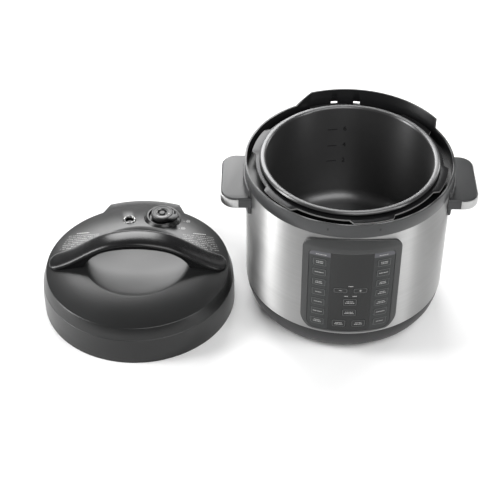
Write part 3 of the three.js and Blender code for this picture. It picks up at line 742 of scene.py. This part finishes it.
marks = [*bars("heading_left", -0.0405, 0.1836, 0.0140, 0.0010, 7, film_front),
         *bars("heading_right", 0.0405, 0.1836, 0.0120, 0.0010, 6, film_front),
         *bars("light_power", 0.0, 0.1337, 0.0062, 0.0013, 3, film_front),
         *bars("light_low", -0.0055, 0.1162, 0.0050, 0.0013, 3, film_front),
         *bars("light_high", 0.0058, 0.1162, 0.0054, 0.0013, 3, film_front)]
for mark in marks:
    wear(mark, ink)
joined(film, marks)
rolled(film, 0.004)
finished(film)
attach(film, "root")
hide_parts("panel_overlay")

# ---- Keys ----
# Twenty thin pads behind the printed film. Each has a rounded outline printed in grey and one
# or two rows of white dashes in place of a word.
outline_grey = Finish("grey_print", roughness=0.4)
outline_grey.feed(
    Base_Color=outline_grey.shades(outline_grey.noise(1500), (0.075, 0.078, 0.078), (0.1, 0.103, 0.103)),
)
key_r = 0.14315
key_front = panel_r - key_r


def key_pad(height):
    pad_outline = rounded(key_wide / 2, -height / 2, height / 2, key_corner, key_corner, 4)
    pad = plate("key_pad", pad_outline, key_r, 0.1417)
    edit(pad)
    pick(pad, lambda at: at.y < key_front + 0.0001)
    bpy.ops.mesh.bevel(offset=0.0002, segments=2)
    bpy.ops.mesh.select_mode(type="FACE")
    for band, slot in ((0.0004, 0), (0.0006, 1)):
        bpy.ops.mesh.select_all(action="DESELECT")
        done()
        front = min(pad.data.polygons, key=lambda face: (round(face.center.y, 6), -face.area))
        front.select = True
        bpy.ops.object.mode_set(mode="EDIT")
        bpy.ops.mesh.inset(thickness=band)
        done()
        if slot:
            ring = [face for face in pad.data.polygons if face.normal.y < -0.99]
            middle = max(ring, key=lambda face: face.area)
            inner = {tuple(sorted(edge)) for edge in middle.edge_keys}
            for face in ring:
                if face != middle and inner & {tuple(sorted(edge)) for edge in face.edge_keys}:
                    face.material_index = 1
        bpy.ops.object.mode_set(mode="EDIT")
    done()
    return pad


pads = {height: key_pad(height) for height in (key_high, step_high)}
for name, turn, z, height, lines in keys:
    pad = pads[height].copy()
    pad.data = pads[height].data.copy()
    pad.name = pad.data.name = name.replace("key", "pad")
    bpy.context.scene.collection.objects.link(pad)
    wear(pad, centre_film if abs(turn) < 10 else side_film, outline_grey, ink)
    for face, source in zip(pad.data.polygons, pads[height].data.polygons):
        face.material_index = source.material_index
    proud = key_front - 0.00004
    if lines == "minus":
        marks = [brick("sign", (-0.0019, proud, -0.0004), (0.0019, 0.0015, 0.0004))]
    elif lines == "plus":
        marks = [brick("sign", (-0.0017, proud, -0.0004), (0.0017, 0.0015, 0.0004)),
                 brick("sign_upright", (-0.0004, proud - 0.00001, -0.0017), (0.0004, 0.0015, 0.0017))]
    elif lines == 1:
        marks = bars("word", 0, 0, 0.0100 + 0.002 * math.sin(90 * z), 0.0011, 6, proud)
    else:
        marks = [*bars("word_upper", 0, 0.0012, 0.0088 + 0.0015 * math.sin(90 * z), 0.0010, 5, proud),
                 *bars("word_lower", 0, -0.0013, 0.0104 - 0.002 * math.sin(50 * z), 0.0010, 5, proud)]
    for mark in marks:
        wear(mark, ink)
    joined(pad, marks)
    rolled(pad, 0.0025)
    finished(pad)
    pad.rotation_euler.z = math.radians(turn)
    pad.location.z = z
    finished(pad)
    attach(pad, name)
    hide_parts(name)
for pad in pads.values():
    bpy.data.objects.remove(pad)
dress(centre_film, "display_module")

# ---- Side handles ----
# Two charcoal grips moulded with a root plate that follows the casing. A brushed steel band is
# set into the outer edge of each.
grip_out, grip_half, grip_low, grip_high, grip_corner = 0.170, 0.048, 0.184, 0.200, 0.020
band_back = grip_out - 0.024


def grip_outline(grow, back):
    """Plan corners of a grip on the right-hand side."""
    corner, out, half = grip_corner + grow, grip_out + grow, grip_half + grow
    return [(back, -half, 0), *[(x, y, 0) for x, y in arc(out - corner, corner - half, corner, -90, 0, 12)],
            *[(x, y, 0) for x, y in arc(out - corner, half - corner, corner, 0, 90, 12)], (back, half, 0)]


def lifted(thing, z):
    thing.location.z += z
    return thing


grip_plan = grip_outline(0, 0.118)
grip = lifted(slab("side_grip", grip_plan, (0, 0, grip_high - grip_low)), grip_low)
softened(grip, 0.0026, 5, 60)
inner = slab("band_seat_inner", grip_outline(-0.0006, 0.11), (0, 0, 0.0134))
outer = slab("band_seat", grip_outline(0.01, band_back), (0, 0, 0.0134))
cut(outer, inner)
cut(grip, lifted(outer, grip_low + 0.0013))


def peg(name, r, low, high, steps=144, centre=(0, 0)):
    """A plain upright round cutter."""
    outline = [(0.0001, low), (r, low), (r, high), (0.0001, high)]
    return turned(name, outline, bevel=0, steps=steps, centre=centre)


root_outline = [(0.132, grip_low - 0.012), (0.141, grip_low - 0.012), (0.141, 0.2117), (0.132, 0.2117)]
root_plate = turned("grip_root", root_outline, bevel=0.001)
cut(root_plate, brick("root_cutter", (0.06, -0.044, 0.1), (0.2, 0.044, 0.26)), "INTERSECT")
cut(grip, root_plate, "UNION")
casing_r = 0.1375
cut(grip, peg("casing_cutter", casing_r, 0.1, 0.26))
finished(grip, 40)
band = lifted(slab("grip_band", grip_outline(0.0006, band_back + 0.0003), (0, 0, 0.0130)), grip_low + 0.0015)
cut(band, lifted(slab("band_cutter", grip_outline(-0.0003, 0.11), (0, 0, 0.04)), grip_low - 0.01))
softened(band, 0.0003, 2, 60)
finished(band)
band_steel = Finish("brushed_band", metallic=1.0, anisotropic=0.6)
strokes = band_steel.noise(1.0, 5, (60, 60, 2600))
band_steel.feed(Base_Color=band_steel.shades(strokes, (0.34, 0.34, 0.34), (0.54, 0.54, 0.535)),
                Roughness=band_steel.between(strokes, 0.25, 0.42))
wear(grip, satin)
wear(band, band_steel)
for side, turn in (("right", 0), ("left", math.pi)):
    for source, node, slot in ((grip, f"handle_{side}", "charcoal_plastic"),
                               (band, f"handle_band_{side}", "brushed_steel")):
        copy = source.copy()
        copy.data = source.data.copy()
        copy.name = copy.data.name = f"{source.name}_{side}"
        bpy.context.scene.collection.objects.link(copy)
        copy.rotation_euler.z = turn
        finished(copy)
        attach(copy, "root")
        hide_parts(node)
bpy.data.objects.remove(grip)
bpy.data.objects.remove(band)

# ---- Mains inlet ----
# A recessed black socket at the back with three nickel blades. It is pushed into the casing from
# inside and held by its rim. The lead is a separate part.
inlet_low, inlet_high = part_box("power_inlet")
inlet = brick("inlet_housing", inlet_low, inlet_high)
softened(inlet, 0.0012, 3, 60)
recess = brick("recess_cutter", (-0.0105, 0.125, 0.0515), (0.0105, 0.15, 0.0645))
softened(recess, 0.002, 3, 60)
cut(inlet, recess)
finished(inlet)
wear(inlet, black_grain)
blades = []
for x, z in ((-0.006, 0.056), (0, 0.060), (0.006, 0.056)):
    blade = brick("inlet_blade", (x - 0.001, 0.1245, z - 0.002), (x + 0.001, 0.134, z + 0.002))
    softened(blade, 0.0004, 2, 60)
    blades.append(blade)
blade = finished(joined(blades[0], blades[1:]))
wear(blade, spring_steel)
for piece in (inlet, blade):
    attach(piece, "root")
    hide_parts("power_inlet")

# ---- Drip cup and its bracket ----
# A clear moulded cup that catches water from the drip slots. It slides out to the rear from a
# black bracket screwed to the casing.
cup_low, cup_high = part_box("condensation_cup")
cup_wall, cup_corner = 0.0016, 0.005


def cup_plan(name, inset, low, high):
    mid = (cup_low[1] + cup_high[1]) / 2
    half = (cup_high[1] - cup_low[1]) / 2 - inset
    wide, corner = cup_high[0] - inset, cup_corner - inset
    plan = [(x, y + mid, low) for x, y in rounded(wide, -half, half, corner, corner, 6)]
    return slab(name, plan, (0, 0, high - low))


cup = cup_plan("drip_cup", 0, cup_low[2], cup_high[2])
softened(cup, 0.0008, 3, 60)
cut(cup, cup_plan("cup_cutter", cup_wall, cup_low[2] + cup_wall, cup_high[2] + 0.01))
finished(cup)
clear = Finish("clear_plastic", transmission_weight=0.92, ior=1.49)
clear.feed(Base_Color=clear.shades(clear.noise(40), (0.86, 0.9, 0.92), (0.93, 0.95, 0.96)),
           Roughness=clear.between(clear.noise(300, 2), 0.04, 0.14))
wear(cup, clear)
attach(cup, "condensation_cup")
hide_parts("condensation_cup")
holder_low, holder_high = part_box("collector_bracket")
bracket = brick("cup_bracket", (holder_low[0], 0.120, holder_low[2]),
                (holder_high[0], cup_low[1] - 0.0003, holder_high[2]))
hook = brick("cup_hook", (holder_low[0], cup_low[1] - 0.002, cup_high[2] + 0.0003),
             (holder_high[0], holder_high[1], holder_high[2]))
cut(bracket, hook, "UNION")
softened(bracket, 0.0009, 3, 60)
cut(bracket, peg("bracket_cutter", casing_r, 0.1, 0.26))
finished(bracket)
wear(bracket, black_grain)
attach(bracket, "root")
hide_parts("collector_bracket")

# ---- Lid cover ----
# A satin charcoal moulding over the pressed steel lid: a steep skirt with a fine seam, a gently
# sloping top with a round dish for the knuckles, and a tab at the back that carries the valves.
lid_at = Vector((-0.288, -0.020, 0))
lid_r, edge_r, edge_z, dish_r, dish_z, dish_deep = 0.1345, 0.1274, 0.0583, 0.073, 0.066, 0.006
slope = (dish_z - edge_z) / (edge_r - dish_r)
valve_at, float_at, hole_r = (0.0285, 0.095), (-0.0188, 0.0895), 0.006
tab_r, tab_half, tab_root, tab_low = 0.1435, 20, 29, 0.0305


def dome(r):
    """Height of the lid's sloping top at a radius from its middle."""
    return dish_z - slope * (r - dish_r)


bowl = [(0.0001 + dish_r * i / 14, dish_z - dish_deep * (1 - (i / 14) ** 3.2)) for i in range(14)]
cover = turned("lid_shell", [
    (0.1326, 0), (lid_r - 0.0004, 0), (lid_r, 0.0004), (lid_r, 0.024), (0.1331, 0.0402), (0.1327, 0.0405),
    (0.1327, 0.0409),
    (0.13295, 0.0412), (0.1319, 0.0446), (0.1281, 0.0572), (0.1276, 0.0579), (0.1268, dome(0.1268)),
    (dish_r + 0.001, dome(dish_r + 0.001)), (dish_r, dish_z - 0.00012), *bowl[:0:-1], bowl[0],
    (0.0001, 0.0574), (0.038, 0.0582), (0.060, 0.0604), (0.073, 0.0634), (0.1254, 0.0557), (0.1294, 0.0436),
    (0.1308, 0.0394),
    (0.1326, 0.033),
], bevel=0, steps=240, centre=lid_at.xy)


def sector(name, middle, half, inner, outer, root_half, low, high):
    """A plan sector about the lid's middle whose sides spread towards its root."""
    plan = [around(middle + root_half * (i / 6 - 1), inner) for i in range(13)]
    plan += [around(middle + half * (1 - i / 8), outer) for i in range(17)]
    return slab(name, [corner + lid_at + Vector((0, 0, low)) for corner in plan], (0, 0, high - low))


tab = turned("lid_tab", [
    (0.1332, tab_low), (tab_r, tab_low), (tab_r, dome(tab_r) - 0.0001), (0.1262, dome(0.1262) - 0.0001),
    (0.1264, 0.0560), (0.1304, 0.0440), (0.1320, 0.0385),
], bevel=0, steps=240, centre=lid_at.xy)
cut(tab, sector("tab_cutter", 180, tab_half, 0.1250, tab_r + 0.002, tab_root, 0.02, 0.08), "INTERSECT")
cut(cover, tab, "UNION")
for x, y in (valve_at, float_at):
    cut(cover, peg("hole_cutter", hole_r, 0.04, 0.08, steps=48, centre=(lid_at.x + x, lid_at.y + y)))
edit(cover)
select_all()
bpy.ops.mesh.remove_doubles(threshold=0.0001)
done()
softened(cover, 0.0007, 3, 50)
finished(cover)
lid_satin = Finish("lid_satin_plastic", specular_ior_level=0.42)
cloud = lid_satin.noise(11, 2)
fine = lid_satin.noise(2600, 2)
body = lid_satin.shades(cloud, (0.0095, 0.0097, 0.0098), (0.0145, 0.0148, 0.015))
here = lid_satin.place(shift=(-lid_at.x, -lid_at.y, 0))
u = lid_satin.node("ShaderNodeSeparateXYZ", {}, {"Vector": here}, 0)
v = lid_satin.node("ShaderNodeSeparateXYZ", {}, {"Vector": here}, 1)
height = lid_satin.node("ShaderNodeSeparateXYZ", {}, {"Vector": here}, 2)
line = (v - 0.0262) / 0.0041
within_line = abs(line.maths("FRACT", line) - 0.5) < 0.17
row = line.maths("FLOOR", line)
word_at = lid_satin.node("ShaderNodeCombineXYZ", {}, {"X": u * 330, "Y": row * 7.3, "Z": 0.0})
word = lid_satin.node("ShaderNodeTexNoise", {"noise_dimensions": "2D"},
                      {"Vector": word_at, "Scale": 1.0, "Detail": 0.0})
block = (abs(u) > 0.060 + (v < 0.0385) * 0.016) * (abs(u) < 0.1215 - v * 0.32)
block = block * (v > 0.0262) * (v < 0.0592) * (height > 0.055)
heading = (abs(abs(u) - 0.0835) < 0.009) * (abs(v - 0.0622) < 0.0009) * (height > 0.055)
dash = line.maths("FRACT", u * 330 + row * 0.37) > 0.22
lines = block * within_line * (word > 0.36) * dash * 0.36
lettering = lines.maths("MAXIMUM", lines, heading * (line.maths("FRACT", u * 420) > 0.25) * 0.7)
lid_satin.feed(
    Base_Color=lid_satin.blend(lettering, body, (0.62, 0.62, 0.61, 1)),
    Roughness=lid_satin.between(cloud * 0.6 + fine * 0.4, 0.27, 0.37),
)
lid_satin.bump(fine, 0.12, 0.0002)
wear(cover, lid_satin)
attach(cover, "lid")
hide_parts("lid_cover")

# ---- Lid handle ----
# A hollow arch of polished black plastic screwed to the cover from below. Its crowned upper
# shell overhangs the lower body by a narrow lip.
arch_half, arch_top, arch_under, arch_end, leg_in = 0.017, 0.1125, 0.099, 0.124, 0.074


def bezier(points, t):
    a, b, c, d = points
    return tuple((1 - t) ** 3 * p + 3 * t * (1 - t) ** 2 * q + 3 * t * t * (1 - t) * r + t ** 3 * s
                 for p, q, r, s in zip(a, b, c, d))


def height_on(curve, x):
    """The height of a falling curve at x, from closely spaced points."""
    points = [bezier(curve, i / 200) for i in range(201)]
    return min(points, key=lambda point: abs(point[0] - x))[1]


upper = ((arch_end, 0.0655), (0.086, 0.069), (0.066, arch_top), (0, arch_top))
under = ((leg_in, 0.064), (0.067, 0.082), (0.051, arch_under), (0, arch_under))


def arch_section(x):
    """One cross-section of the handle, as corners about a loop."""
    off = abs(x)
    top = height_on(upper, off)
    low = height_on(under, off) if off < leg_in else dome(off) - 0.0012
    back = max(0, off - (arch_end - 0.014))
    wide = arch_half - 0.014 + math.sqrt(max(0.0, 0.014 ** 2 - back ** 2)) if back else arch_half
    sink = 0.0030 * (back / 0.014) ** 3
    wide, top = max(wide, 0.004), top - sink
    lip = min(0.0062, max(0.0016, (top - low) * 0.55))
    half = [(0, top), (0.45 * wide, top - 0.05 * lip), (0.78 * wide, top - 0.28 * lip),
            (0.95 * wide, top - 0.62 * lip),
            (wide, top - 0.9 * lip), (wide, top - lip - 0.0002), (wide - 0.0009, top - lip - 0.0004),
            (wide - 0.0012, (top - lip + low) / 2), (wide - 0.0016, low + 0.0006),
            (wide - 0.0030, low), (0, low)]
    return [(x, -y, z) for y, z in half] + [(x, y, z) for y, z in half[-2:0:-1]]


stations = [-arch_end + 0.0001, -0.1230, -0.1205, -0.117, -0.112, -0.106, -0.098, -0.090, -0.0815,
            -0.0745, -0.0738, -0.0725,
            -0.0708, -0.069, -0.066, -0.062, -0.054, -0.045, -0.036, -0.018]
stations += [0] + [-x for x in reversed(stations)]
loops = []
for i, x in enumerate(stations):
    section = [Vector(corner) + lid_at for corner in arch_section(x)]
    loops.append(drawn("lid_arch", [*section, section[0]]))
    select_all()
    bpy.ops.mesh.remove_doubles(threshold=0.00001)
    done()
arch_body = joined(loops[0], loops[1:])
edit(arch_body)
select_all()
bpy.ops.mesh.bridge_edge_loops()
select_all()
bpy.ops.mesh.fill_holes(sides=0)
select_all()
bpy.ops.mesh.normals_make_consistent(inside=False)
done()
modified(arch_body, "SUBSURF", levels=2, render_levels=2)
finished(arch_body, 40)
polished = moulded("polished_black_plastic", (0.006, 0.006, 0.0063), (0.009, 0.009, 0.0094), 0.26, 2600, 0.01)
wear(arch_body, polished)
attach(arch_body, "lid")
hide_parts("lid_handle")

# ---- Steam valve ----
# A glossy collar moulded round the steel stem, and a knob that turns between two marks. The knob
# has a tail for the fingertip, a ring slot round its middle and a printed pointer.


def out_from(centre, degrees, r):
    """A point at an angle and a distance from a centre, in plan."""
    angle = math.radians(degrees)
    return centre[0] + r * math.cos(angle), centre[1] + r * math.sin(angle)


valve_xy = (lid_at.x + valve_at[0], lid_at.y + valve_at[1])
collar = turned("valve_guard", [
    (0.0062, 0.0560), (0.0245, 0.0560), (0.0268, 0.0575), (0.0270, 0.0622), (0.0262, 0.0640),
    (0.0226, 0.0684), (0.0218, 0.069),
    (0.0200, 0.069), (0.0193, 0.0682), (0.0185, 0.0654), (0.0062, 0.0654),
], bevel=0.0003, steps=96, centre=valve_xy)
wear(collar, polished)
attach(collar, "lid")
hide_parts("valve_collar")
knob = turned("valve_turner", [
    (0.0001, 0.067), (0.0140, 0.067), (0.0155, 0.0685), (0.0160, 0.0705), (0.0160, 0.0735),
    (0.0153, 0.0746), (0.0145, 0.0750), (0.0132, 0.0750), (0.0128, 0.0747), (0.0088, 0.0747),
    (0.0084, 0.0744), (0.0070, 0.0742), (0.0066, 0.0738), (0.0062, 0.0715),
    (0.0044, 0.0715), (0.0042, 0.0738), (0.0036, 0.0742), (0.0001, 0.0743),
], bevel=0.0002, steps=96, centre=valve_xy)
lobe = [(24, 0.0135), (22, 0.0165), (10, 0.0205), (-6, 0.0235), (-18, 0.0247), (-30, 0.0252),
        (-37, 0.0243), (-44, 0.0215),
        (-52, 0.0180), (-60, 0.0160), (-62, 0.0135)]
lobe_plan = [(*out_from(valve_xy, a, r), 0.0703) for a, r in lobe]
tail = slab("valve_tail", lobe_plan, (0, 0, 0.0040))
softened(tail, 0.0011, 3, 30)
slot_plan = [(a, 0.0172) for a in range(12, -15, -3)] + [(a, 0.0200) for a in range(-12, 13, 3)]
cut(tail, slab("tail_slot", [(*out_from(valve_xy, a, r), 0.069)
                             for a, r in slot_plan], (0, 0, 0.008)))
cut(knob, tail, "UNION")
finished(knob, 30)
knob_black = moulded("knob_plastic", (0.018, 0.018, 0.0185), (0.026, 0.026, 0.027), 0.34, 1800, 0.1)
wear(knob, knob_black, ink)


def printed(name, corners, low, thick=0.00008):
    """Ink as a very thin plate standing on a level face."""
    mark = slab(name, [(x, y, low) for x, y in corners], (0, 0, thick))
    wear(mark, ink)
    return mark


def dash_ring(name, centre, r, wide, start, end, count, low):
    """Short dashes along an arc."""
    step = (end - start) / count
    made = []
    for i in range(count):
        angles = [start + step * (i + 0.12 + 0.72 * j / 3) for j in range(4)]
        ring = [out_from(centre, angle, r + wide / 2) for angle in angles]
        ring += [out_from(centre, angle, r - wide / 2) for angle in reversed(angles)]
        made.append(printed(f"{name}_{i}", ring, low))
    return made


pointer = [out_from(valve_xy, a, r)
           for a, r in ((-18, 0.0122), (-27, 0.0094), (-9, 0.0094))]
marks = [printed("pointer", pointer, 0.07469),
         *dash_ring("knob_mark", valve_xy, 0.0106, 0.0017, -132, -48, 9, 0.07469),
         *dash_ring("knob_arc", valve_xy, 0.0078, 0.0008, 95, 200, 2, 0.07441)]
for mark in marks:
    wear(mark, ink)
joined(knob, marks)
finished(knob, 30)
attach(knob, "valve_knob")
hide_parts("valve_knob")

# ---- Valve marks ----
# Two small printed signs beside the valve, each a ring with a dot before it, for its two
# positions.
signs = []
for i, (x, y) in enumerate(((0.0656, 0.0915), (0.0595, 0.0728))):
    centre = (lid_at.x + x, lid_at.y + y)
    lowest = dome(math.hypot(x, y)) - 0.00002
    sign = [*dash_ring("sign", centre, 0.0026, 0.0007, 0, 360, 5 + 3 * i, lowest),
            *dash_ring("sign_middle", centre, 0.0008, 0.0008, 0, 360, 2, lowest),
            *dash_ring("sign_dot", (centre[0] - 0.0056, centre[1] - 0.0008), 0.0004, 0.0007,
                        0, 360, 2, lowest)]
    whole = joined(sign[0], sign[1:])
    edit(whole)
    select_all()
    lean = math.atan(slope)
    for axis, share in (("X", -y), ("Y", x)):
        bpy.ops.transform.rotate(value=-lean * share / math.hypot(x, y), orient_axis=axis,
                                 center_override=(*centre, lowest))
    done()
    signs.append(whole)
bright_ink = Finish("bright_print", roughness=0.5)
bright_ink.feed(Base_Color=bright_ink.shades(bright_ink.noise(2000), (0.55, 0.55, 0.54), (0.72, 0.72, 0.71)))
sign = finished(joined(signs[0], signs[1:]))
sign.name = sign.data.name = "valve_signs"
wear(sign, bright_ink)
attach(sign, "lid")

# ---- Float valve ----
# A dark polished bezel pressed into the cover round the hole where the float pin rises under pressure.
bezel = turned("float_ring", [
    (0.0056, 0.0575), (0.0096, 0.0575), (0.0096, 0.0640), (0.0090, 0.0650), (0.0080, 0.0654),
    (0.0068, 0.0652), (0.0058, 0.0642),
    (0.0056, 0.0630),
], bevel=0.0002, steps=64, centre=(lid_at.x + float_at[0], lid_at.y + float_at[1]))
polished_steel = Finish("dark_polished_steel", metallic=1.0)
haze = polished_steel.noise(620, 1)
polished_steel.feed(Base_Color=polished_steel.shades(haze > 0.52, (0.045, 0.045, 0.046), (0.30, 0.30, 0.295)),
                    Roughness=polished_steel.between(haze, 0.25, 0.4))
wear(bezel, polished_steel)
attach(bezel, "lid")
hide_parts("float_bezel")
dress(polished, "float_pin")

# ---- Steel lid, sealing ring and rack ----
# A pressed steel disc inside the cover, with six lugs round its rim that slide under those of
# the flange. A silicone ring sits against it, kept round by a wire rack.
steel_lid = turned("pressed_lid", [
    (0.0001, 0.038), (0.020, 0.038), (0.024, 0.0374), (0.104, 0.02785), (0.108, 0.0273), (0.1303, 0.0273),
    (0.1313, 0.0263), (0.1313, 0.0032), (0.1323, 0.0032), (0.1323, 0.0268), (0.1311, 0.0289),
    (0.108, 0.0289), (0.024, 0.0390), (0.020, 0.0396),
    (0.0001, 0.0396),
], bevel=0.0002, steps=160, centre=lid_at.xy)
for i in range(6):
    cut(steel_lid, sector("lid_lug", 9.5 + 60 * i, 12, 0.126, 0.1319, 12, 0.0032, 0.0062), "UNION")
for (x, y), r in ((valve_at, 0.0039), (float_at, 0.0045)):
    cut(steel_lid, peg("hole_cutter", r, 0.02, 0.05, steps=40, centre=(lid_at.x + x, lid_at.y + y)))
finished(steel_lid)
pressed = Finish("pressed_steel", metallic=1.0, anisotropic=0.5)
radius = pressed.reach(pressed.place(shift=(-lid_at.x, -lid_at.y, 0)))
rings = pressed.node("ShaderNodeTexNoise", {"noise_dimensions": "1D"},
                     {"W": radius * 3000, "Scale": 1.0, "Detail": 4})
pressed.feed(Base_Color=pressed.shades(rings, (0.50, 0.50, 0.50), (0.66, 0.66, 0.655)),
             Roughness=pressed.between(rings, 0.2, 0.36))
pressed.bump(rings, 0.1, 0.0001)
wear(steel_lid, pressed)
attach(steel_lid, "lid")
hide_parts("steel_lid")
seal = turned("silicone_seal", [
    (0.1100, 0.0174), (0.1205, 0.0174), (0.1215, 0.0184), (0.1215, 0.0260), (0.1205, 0.0270),
    (0.1105, 0.0270), (0.1095, 0.0264), (0.1095, 0.0256), (0.1105, 0.0250), (0.1178, 0.0250),
    (0.1186, 0.0242), (0.1186, 0.0204), (0.1178, 0.0196), (0.1105, 0.0196),
    (0.1096, 0.0190), (0.1096, 0.0179),
], bevel=0.0003, steps=160, centre=lid_at.xy)
silicone = Finish("white_silicone", subsurface_weight=0.25, subsurface_radius=(0.004, 0.004, 0.004))
milk = silicone.noise(60, 3)
silicone.feed(Base_Color=silicone.shades(milk, (0.70, 0.70, 0.68), (0.80, 0.80, 0.78)),
              Roughness=silicone.between(milk, 0.42, 0.6))
silicone.bump(silicone.noise(900, 2), 0.1, 0.0002)
wear(seal, silicone)
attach(seal, "lid_level_frame")
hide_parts("sealing_ring")
